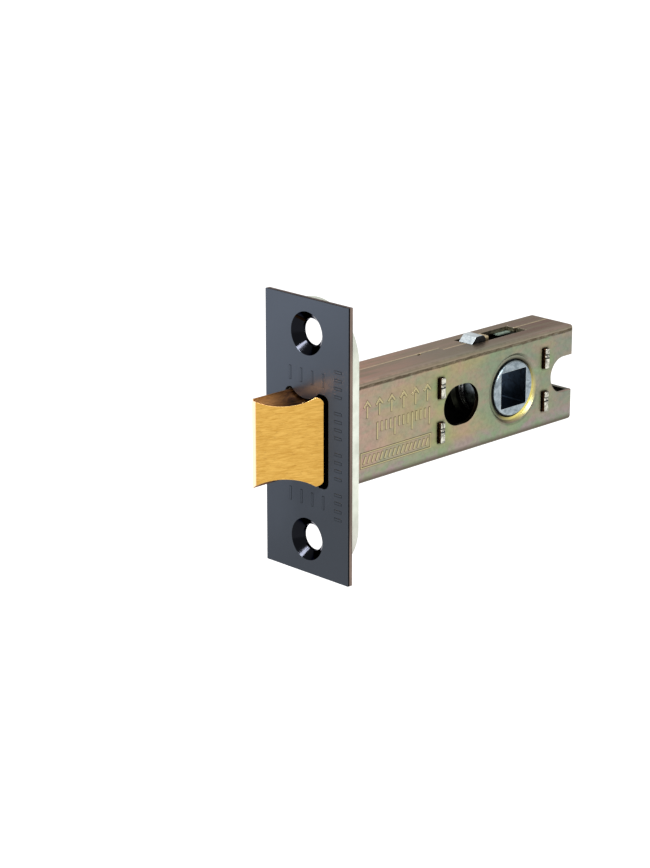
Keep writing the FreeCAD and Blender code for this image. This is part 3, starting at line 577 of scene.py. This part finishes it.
def makeBrass():
    p = brass
    material, tree, shader, place = newMaterial("brushedBrass", Metallic=1.0)
    x, y, z = apart(tree, place)
    nx, ny, nz = apart(tree, faceNormal(tree))
    soft = softNormal(tree, p["easing"])
    leaning = addNode(tree, "Mapping", {"Vector": place, "Rotation": (0, p["lean"], 0)}).outputs[0]
    lines = noise(tree, stretched(tree, leaning, (420, 420, 3400)), 1.0, 5, 0.7, 0.3)
    broad = noise(tree, stretched(tree, place, (120, 120, 360), (1, 0, 4)), 1.0, 3, 0.6)
    specks = noise(tree, stretched(tree, leaning, (900, 900, 2600), (0, 7, 0)), 1.0, 2, 0.7)
    colour = blend(tree, greyRamp(tree, lines, [(0.36, 0.0), (0.62, 1.0)]), rgb(*p["deep"]), rgb(*p["light"]))
    colour = blend(tree, greyRamp(tree, broad, [(0.45, 0.0), (0.75, 0.3)]), colour, rgb(*p["deep"]))
    colour = blend(tree, greyRamp(tree, specks, [(0.6, 0.0), (0.72, 0.3)]), colour, rgb(*p["speck"]))
    # Painted shade: the grooves top and bottom are browner and darken towards the mouth, with painted glints, and
    # the flank in the mouth and the bolt inside the plate are dark
    inGroove = above(tree, size(tree, nz), 0.35, 0.15)
    rootward = above(tree, x, boltLow.x + 1.5 * mm, 6.5 * mm)
    grooveLines = both(tree, rootward, greyRamp(tree, lines, [(0.4, 1.0), (0.6, 0.75)]))
    grooveColour = blend(tree, grooveLines, rgb(*p["groove"]), rgb(*p["grooveShade"]))
    glints = noise(tree, stretched(tree, place, (90, 1500, 90)), 1.0, 3, 0.6)
    grooveColour = blend(tree, greyRamp(tree, glints, [(0.58, 0.0), (0.68, 0.5)]), grooveColour,
                         rgb(*p["grooveGlint"]))
    colour = blend(tree, inGroove, colour, grooveColour)
    onFlank = both(tree, flip(tree, above(tree, size(tree, nx), 0.3, 0.1)),
                   above(tree, both(tree, y, -1.0), boltHigh.y - 1.2 * mm, 0.3 * mm))
    inPlate = above(tree, x, 0.3 * mm, 0.4 * mm)
    onFlank = calc(tree, "MAXIMUM", onFlank, inPlate)
    colour = blend(tree, onFlank, colour, rgb(*p["flankShade"]))
    # Painted highlight on the nose and along the tip
    ahead = both(tree, above(tree, both(tree, nx, -1.0), 0.85, 0.1),
                 flip(tree, above(tree, x, boltLow.x + 1 * mm, 0.2 * mm)))
    tip = both(tree, flip(tree, above(tree, x, boltLow.x + p["noseLength"], 0.15 * mm)), flip(tree, inGroove))
    colour = blend(tree, calc(tree, "MAXIMUM", ahead, both(tree, tip, 0.85)), colour, rgb(*p["nose"]))
    # The edges lightened with the highlight colour: part wear, part painted highlight
    edges = both(tree, edgeWear(tree, soft), flip(tree, onFlank))
    colour = blend(tree, both(tree, edges, 0.25), colour, rgb(*p["nose"]))
    rough = greyRamp(tree, lines, [(0.3, p["roughness"] - 0.05), (0.7, p["roughness"] + 0.08)])
    connect(tree, shader, Base_Color=colour, Roughness=rough,
            Normal=bump(tree, lines, 0.006 * mm, 0.5, soft))
    return material


# As-cast zinc alloy on the follower and the retractor
castZinc = {
    "light": (162, 174, 180),
    "shade": (108, 120, 127),
    "lugLitTop": (216, 224, 226),
    "lugTopShade": (172, 182, 188),
    "lugSideShade": (66, 70, 74),
    "webShade": (26, 24, 18),
    "dark": (48, 63, 80),
    "darkShade": (24, 32, 42),
    "ring": (12, 12, 12),
    "squareHalf": 4.08 * mm,
    "roughness": 0.34,
    "easing": 0.18 * mm,
}


def makeCastZinc(name, piece):
    p = castZinc
    material, tree, shader, place = newMaterial(name, Metallic=1.0)
    x, y, z = apart(tree, place)
    nx, ny, nz = apart(tree, faceNormal(tree))
    soft = softNormal(tree, p["easing"])
    mottle = noise(tree, place, 650, 5, 0.65, 0.8)
    pits = noise(tree, place, 2200, 3, 0.6)
    cloud = greyRamp(tree, mottle, [(0.35, 0.0), (0.65, 1.0)])
    if piece == "follower":
        # Painted shade in its square hole and on the skirt under its face
        colour = blend(tree, cloud, rgb(*p["shade"]), rgb(*p["light"]))
        colour = blend(tree, both(tree, edgeWear(tree, soft), 0.5), colour, rgb(222, 228, 230))
        out = calc(tree, "SUBTRACT", x, layout["hubX"])
        offSide = flip(tree, above(tree, size(tree, ny), 0.5, 0.1))
        inSquare = flip(tree, above(tree, calc(tree, "MAXIMUM", size(tree, out), size(tree, z)),
                                    p["squareHalf"], 0.03 * mm))
        radius = calc(tree, "SQRT", calc(tree, "ADD", both(tree, out, out), both(tree, z, z)))
        skirt = above(tree, radius, layout["hubR"] + 0.01 * mm, 0.02 * mm)
        nearFace = above(tree, size(tree, y), -layout["nearSide"] - 2.0 * mm, 0.1 * mm)
        squareColour = blend(tree, cloud, rgb(*p["darkShade"]), rgb(*p["dark"]))
        colour = blend(tree, both(tree, inSquare, offSide), colour, squareColour)
        colour = blend(tree, both(tree, skirt, nearFace), colour, rgb(*p["ring"]))
    else:
        # The lug: painted light above, painted shade on its side and where the clip holds its web
        colour = blend(tree, cloud, rgb(*p["lugTopShade"]), rgb(*p["lugLitTop"]))
        onSide = above(tree, size(tree, ny), 0.6, 0.3)
        sideColour = blend(tree, cloud, rgb(*p["webShade"]), rgb(*p["lugSideShade"]))
        colour = blend(tree, onSide, colour, sideColour)
        web = above(tree, x, layout["lugBack"] - 0.25 * mm, 0.3 * mm)
        colour = blend(tree, web, colour, rgb(*p["webShade"]))
    rough = greyRamp(tree, pits, [(0.3, p["roughness"] - 0.05), (0.7, p["roughness"] + 0.1)])
    connect(tree, shader, Base_Color=colour, Roughness=rough,
            Normal=bump(tree, blend(tree, 0.5, mottle, pits), 0.035 * mm, 0.7, soft))
    return material


# Drawn spring wire, rivet steel, and the pale sheet inside the slot
wireSteel = {"light": (196, 198, 200), "shade": (140, 142, 146), "roughness": 0.26, "metallic": 1.0}
leafSheet = {"light": (124, 138, 126), "shade": (80, 94, 84), "roughness": 0.5, "metallic": 0.2}


def makeSteel(name, p):
    material, tree, shader, place = newMaterial(name, Metallic=p["metallic"])
    marks = noise(tree, place, 1800, 4, 0.7)
    colour = blend(tree, greyRamp(tree, marks, [(0.35, 0.0), (0.65, 1.0)]), rgb(*p["shade"]), rgb(*p["light"]))
    rough = greyRamp(tree, marks, [(0.3, p["roughness"] - 0.05), (0.7, p["roughness"] + 0.1)])
    connect(tree, shader, Base_Color=colour, Roughness=rough,
            Normal=bump(tree, marks, 0.006 * mm, 0.5, faceSmooth(tree)))
    return material


materials = {
    "blackPlate": makeBlackPlate("blackPlating", False),
    "blackMark": makeBlackPlate("blackMark", True),
    "brightZinc": makeBrightZinc(),
    "yellowZinc": makeYellowZinc("yellowZinc"),
    "markZinc": makeYellowZinc("markZinc", "mark"),
    "clipZinc": makeYellowZinc("clipZinc", "clip"),
    "tabSteel": makeTabSteel(),
    "brass": makeBrass(),
    "hubZinc": makeCastZinc("hubZinc", "follower"),
    "lugZinc": makeCastZinc("lugZinc", "lug"),
    "wireSteel": makeSteel("wireSteel", wireSteel),
    "leafSheet": makeSteel("leafSheet", leafSheet),
}

finishes = {
    "face_plate": "blackPlate",
    "mounting_plate": "brightZinc",
    "case_near_shell": "yellowZinc",
    "case_far_shell": "yellowZinc",
    "front_bulkhead": "tabSteel",
    "rear_bulkhead": "tabSteel",
    "latch_bolt": "brass",
    "tail_strap": "yellowZinc",
    "tail_rivet_front": "wireSteel",
    "tail_rivet_rear": "wireSteel",
    "bolt_spring": "wireSteel",
    "follower": "hubZinc",
    "follower_spring_near": "wireSteel",
    "follower_spring_far": "wireSteel",
    "retractor": "lugZinc",
    "retractor_clip": "clipZinc",
}

for nodeName, finishName in finishes.items():
    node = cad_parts[nodeName]
    node.data.materials.clear()
    node.data.materials.append(materials[finishName])
print("finishes given to", len(finishes), "nodes")


# Turns a bmesh into a piece that rides on a body
def makePiece(name, form, finish, body):
    mesh = bpy.data.meshes.new(name)
    bmesh.ops.recalc_face_normals(form, faces=form.faces)
    form.to_mesh(mesh)
    form.free()
    mesh.materials.append(materials[finish])
    piece = bpy.data.objects.new(name, mesh)
    bpy.context.scene.collection.objects.link(piece)
    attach(piece, body)
    return piece


# Springs as smooth round wire, on the same lines as the solids they stand for
coils = {
    "wireSides": 16,
    "stepsPerTurn": 40,
    "boltWire": 0.8 * mm,
    "boltTurns": 8,
    "followerWire": 0.7 * mm,
    "followerTurns": 1.3,
    "followerLeg": 5.5 * mm,
}


def addTube(form, points, radius):
    # A round tube along the points, closed and slightly rounded at both ends
    sides = coils["wireSides"]
    rings = []
    last = len(points) - 1
    for i, point in enumerate(points):
        ahead = (points[min(i + 1, last)] - points[max(i - 1, 0)]).normalized()
        across = ahead.orthogonal() if i == 0 else (across - ahead * across.dot(ahead))
        across.normalize()
        over = ahead.cross(across)
        ends = [(point, radius)]
        if i == 0:
            ends = [(point - ahead * radius * 0.25, radius * 0.75), (point, radius)]
        if i == last:
            ends = [(point, radius), (point + ahead * radius * 0.25, radius * 0.75)]
        for centre, reach in ends:
            ring = []
            for k in range(sides):
                angle = 2 * math.pi * k / sides
                ring.append(form.verts.new(centre + across * (reach * math.cos(angle))
                                           + over * (reach * math.sin(angle))))
            rings.append(ring)
    for a, b in zip(rings, rings[1:]):
        for k in range(sides):
            face = form.faces.new((a[k], a[(k + 1) % sides], b[(k + 1) % sides], b[k]))
            face.smooth = True
    form.faces.new(rings[0])
    form.faces.new(rings[-1])


def makeBoltSpring():
    # Drawn as two lengths: the front one rides on the retractor, the rear one on the case
    low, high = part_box("bolt_spring")
    wire = coils["boltWire"]
    radius = high.y - wire / 2
    start = low.x + wire / 2
    length = high.x - low.x - wire
    count = coils["boltTurns"] * coils["stepsPerTurn"]
    half = count // 2
    middle = (low.x + high.x) / 2
    for name, steps, body, joint, anchor in (
            ("boltSpringFront", range(half), "retractor", "bolt_push", middle),
            ("boltSpringRear", range(half, count + 1), "case", "retractor_slide", high.x)):
        points = []
        for i in steps:
            angle = 2 * math.pi * coils["boltTurns"] * i / count
            points.append(Vector((start + length * i / count, radius * math.sin(angle), -radius * math.cos(angle))))
        form = bmesh.new()
        addTube(form, points, wire / 2)
        spring = makePiece(name, form, "wireSteel", body)
        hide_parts("bolt_spring")
        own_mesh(spring)


def makeFollowerSpring(name, node, side):
    low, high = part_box(node)
    wire = coils["followerWire"]
    radius = (high.z - low.z) / 2 - wire / 2
    room = high.y - low.y - wire
    startY = (low.y if side > 0 else high.y) + side * wire / 2
    count = round(coils["followerTurns"] * coils["stepsPerTurn"])
    centre = Vector((layout["hubX"], startY, 0))
    points = [centre + Vector((coils["followerLeg"] * (1 - i / 6), 0, -radius)) for i in range(6)]
    for i in range(count + 1):
        angle = 2 * math.pi * coils["followerTurns"] * i / count
        points.append(centre + Vector((-radius * math.sin(angle), side * room * i / count,
                                       -radius * math.cos(angle))))
    form = bmesh.new()
    addTube(form, points, wire / 2)
    spring = makePiece(name, form, "wireSteel", "follower")
    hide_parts(node)


makeBoltSpring()
makeFollowerSpring("followerSpringNear", "follower_spring_near", -1)
makeFollowerSpring("followerSpringFar", "follower_spring_far", 1)
print("springs made")


# Pressed marks: plain signs that stand a hair proud, each a flat-topped ridge with sloping sides
marks = {
    "proud": 0.06 * mm,
    "sink": 0.02 * mm,
    "slope": 0.14 * mm,
    "stroke": 0.42 * mm,
}


def addRidge(form, line, width, onto, closed=False):
    # A ridge along a flat line of points, mitred where it turns; onto lifts the flat points onto the part
    points = [Vector(point) for point in line]
    last = len(points) - 1
    rings = []
    for i, point in enumerate(points):
        starts = i == 0 and not closed
        ends = i == last and not closed
        ahead = (point - points[i - 1] if ends else points[(i + 1) % len(points)] - point).normalized()
        behind = ahead if starts else (point - points[i - 1]).normalized()
        along = (ahead + behind).normalized()
        side = Vector((-along.y, along.x)) / along.dot(ahead)
        stretch = along * (marks["slope"] * (ends - starts))
        low = width / 2 + marks["slope"]
        rings.append([form.verts.new(onto(*spot, out)) for spot, out in (
            (point + stretch - side * low, -marks["sink"]),
            (point - side * (width / 2), marks["proud"]),
            (point + side * (width / 2), marks["proud"]),
            (point + stretch + side * low, -marks["sink"]))])
    for a, b in zip(rings, rings[1:] + rings[:1] if closed else rings[1:]):
        for k in range(4):
            n = (k + 1) % 4
            form.faces.new((a[k], b[k], b[n], a[n]))
    if not closed:
        form.faces.new(rings[0])
        form.faces.new(rings[-1])


def ontoNearSide(along, up, out):
    return Vector((along, layout["nearSide"] - out, up))


def ontoPlate(along, up, out):
    return Vector((plateLow.x - out, -along, up))


# Marks on the case's near side: up arrows, plain ribs and a hatched bar
caseMarks = {
    "arrowsFrom": 11.4 * mm, "arrowsTo": 29.4 * mm, "arrowCount": 6,
    "arrowLow": 3.0 * mm, "arrowHigh": 6.5 * mm, "arrowHead": 1.0 * mm,
    "arrowGap": 0.95 * mm,
    "ribsFrom": 14.4 * mm, "ribsTo": 30.0 * mm, "ribCount": 13,
    "ribLow": -2.2 * mm, "ribHigh": 1.5 * mm, "ribShort": -0.6 * mm,
    "barFrom": 9.6 * mm, "barTo": 30.5 * mm, "barLow": -7.5 * mm, "barHigh": -4.4 * mm,
    "barInset": 0.75 * mm, "hatchCount": 16, "hatchLean": 0.7 * mm,
}


def makeCaseMarks():
    p = caseMarks
    width = marks["stroke"]
    form = bmesh.new()
    step = (p["arrowsTo"] - p["arrowsFrom"]) / (p["arrowCount"] - 1)
    for i in range(p["arrowCount"]):
        at = p["arrowsFrom"] + step * i
        head = p["arrowHead"]
        foot = p["arrowHigh"] - 1.2 * head
        addRidge(form, [(at, p["arrowLow"]), (at, p["arrowHigh"] - p["arrowGap"])], width, ontoNearSide)
        addRidge(form, [(at - head, foot), (at, p["arrowHigh"]), (at + head, foot)], width, ontoNearSide)
    makePiece("pressedArrows", form, "markZinc", "case")
    form = bmesh.new()
    step = (p["ribsTo"] - p["ribsFrom"]) / (p["ribCount"] - 1)
    for i in range(p["ribCount"]):
        at = p["ribsFrom"] + step * i
        low = p["ribLow"] if i % 4 == 0 else p["ribShort"]
        addRidge(form, [(at, low), (at, p["ribHigh"])], width, ontoNearSide)
    makePiece("pressedRibs", form, "markZinc", "case")
    form = bmesh.new()
    corners = [(p["barFrom"], p["barLow"]), (p["barTo"], p["barLow"]), (p["barTo"], p["barHigh"]),
               (p["barFrom"], p["barHigh"])]
    addRidge(form, corners, width * 0.6, ontoNearSide, closed=True)
    low = p["barLow"] + p["barInset"]
    high = p["barHigh"] - p["barInset"]
    step = (p["barTo"] - p["barFrom"] - 2 * p["barInset"] - p["hatchLean"]) / (p["hatchCount"] - 1)
    for i in range(p["hatchCount"]):
        at = p["barFrom"] + p["barInset"] + step * i
        addRidge(form, [(at, low), (at + p["hatchLean"], high)], width, ontoNearSide)
    makePiece("pressedBar", form, "markZinc", "case")


# Marks on the face plate: short ribs above and below the bolt, and a ladder of ticks beside it
plateMarks = {
    "ribAt": (-4.8 * mm, -1.6 * mm, 1.6 * mm, 4.8 * mm),
    "ribLow": 11.6 * mm, "ribHigh": 14.4 * mm,
    "ladderAt": 8.1 * mm, "ladderWidth": 1.9 * mm,
    "ladderTop": 15.6 * mm, "ladderBottom": -15.6 * mm, "ladderCount": 19,
}


def makePlateMarks():
    p = plateMarks
    width = marks["stroke"]
    form = bmesh.new()
    for at in p["ribAt"]:
        addRidge(form, [(at, p["ribLow"]), (at, p["ribHigh"])], width, ontoPlate)
        addRidge(form, [(at, -p["ribLow"]), (at, -p["ribHigh"])], width, ontoPlate)
    step = (p["ladderTop"] - p["ladderBottom"]) / (p["ladderCount"] - 1)
    for i in range(p["ladderCount"]):
        if i % 5 == 4:
            continue
        up = p["ladderBottom"] + step * i
        addRidge(form, [(p["ladderAt"], up), (p["ladderAt"] + p["ladderWidth"], up)], width, ontoPlate)
    makePiece("pressedTicks", form, "blackMark", "case")


makeCaseMarks()
makePlateMarks()
print("pressed marks made")


# The case's inner leaf, a strip of sheet that shows below the top through the slot
innerLeaf = {
    "from": (60.6 * mm, 2.1 * mm, 9.55 * mm),
    "to": (69.0 * mm, 4.95 * mm, 9.89 * mm),
    "ease": 0.06 * mm,
}


def makeInnerLeaf():
    low = Vector(innerLeaf["from"])
    high = Vector(innerLeaf["to"])
    form = bmesh.new()
    bmesh.ops.create_cube(form, size=1.0)
    bmesh.ops.scale(form, vec=high - low, verts=form.verts)
    bmesh.ops.translate(form, vec=(low + high) / 2, verts=form.verts)
    bmesh.ops.bevel(form, geom=form.edges[:], offset=innerLeaf["ease"], segments=2, affect="EDGES")
    makePiece("innerLeaf", form, "leafSheet", "case")


makeInnerLeaf()
print("inner leaf made")


# Studio: a pale floor, a soft even room and two soft boxes above the front
studio = {
    "floorDrop": 60 * mm,
    "floorSize": 4.0,
    "floorGlow": 0.93,
    "roomBelow": 0.95,
    "roomAbove": 0.8,
    "boxes": [
        {"name": "frontBox", "place": (-0.13, -0.44, 0.44), "aim": (0.04, 0, 0), "size": (0.24, 0.24), "power": 2.6},
        {"name": "plateBox", "place": (-0.37, 0.03, 0.47), "aim": (0, 0, 0), "size": (0.3, 0.06), "power": 4.4},
    ],
}


def makeFloor():
    mesh = bpy.data.meshes.new("paleFloor")
    form = bmesh.new()
    bmesh.ops.create_grid(form, x_segments=1, y_segments=1, size=studio["floorSize"])
    form.to_mesh(mesh)
    form.free()
    floor = bpy.data.objects.new("paleFloor", mesh)
    bpy.context.scene.collection.objects.link(floor)
    floor.location = (0, 0, -studio["floorDrop"])
    material, tree, shader, place = newMaterial("paleFloor", Roughness=0.9)
    paper = noise(tree, place, 30, 2)
    connect(tree, shader, Base_Color=blend(tree, paper, rgb(120, 120, 120), rgb(124, 124, 124)))
    shader.inputs["Emission Color"].default_value = (1, 1, 1, 1)
    shader.inputs["Emission Strength"].default_value = studio["floorGlow"]
    mesh.materials.append(material)


def makeWorld():
    world = bpy.data.worlds.new("softRoom")
    world.use_nodes = True
    bpy.context.scene.world = world
    tree = world.node_tree
    background = tree.nodes["Background"]
    direction = addNode(tree, "TexCoord").outputs["Generated"]
    x, y, z = apart(tree, direction)
    rise = calc(tree, "ADD", both(tree, z, 0.5), 0.5)
    level = greyRamp(tree, rise, [(0.3, studio["roomBelow"]), (0.6, studio["roomAbove"])])
    seen = addNode(tree, "LightPath").outputs["Is Camera Ray"]
    tree.links.new(blend(tree, seen, level, (1, 1, 1, 1)), background.inputs["Color"])


def makeBoxes():
    for box in studio["boxes"]:
        data = bpy.data.lights.new(box["name"], "AREA")
        data.shape = "RECTANGLE"
        data.size, data.size_y = box["size"]
        data.energy = box["power"]
        lamp = bpy.data.objects.new(box["name"], data)
        bpy.context.scene.collection.objects.link(lamp)
        lamp.location = box["place"]
        lamp.rotation_mode = "QUATERNION"
        lamp.rotation_quaternion = (Vector(box["aim"]) - Vector(box["place"])).to_track_quat("-Z", "Y")


makeFloor()
makeWorld()
makeBoxes()
bpy.context.scene.view_settings.view_transform = "Standard"
print("studio made")
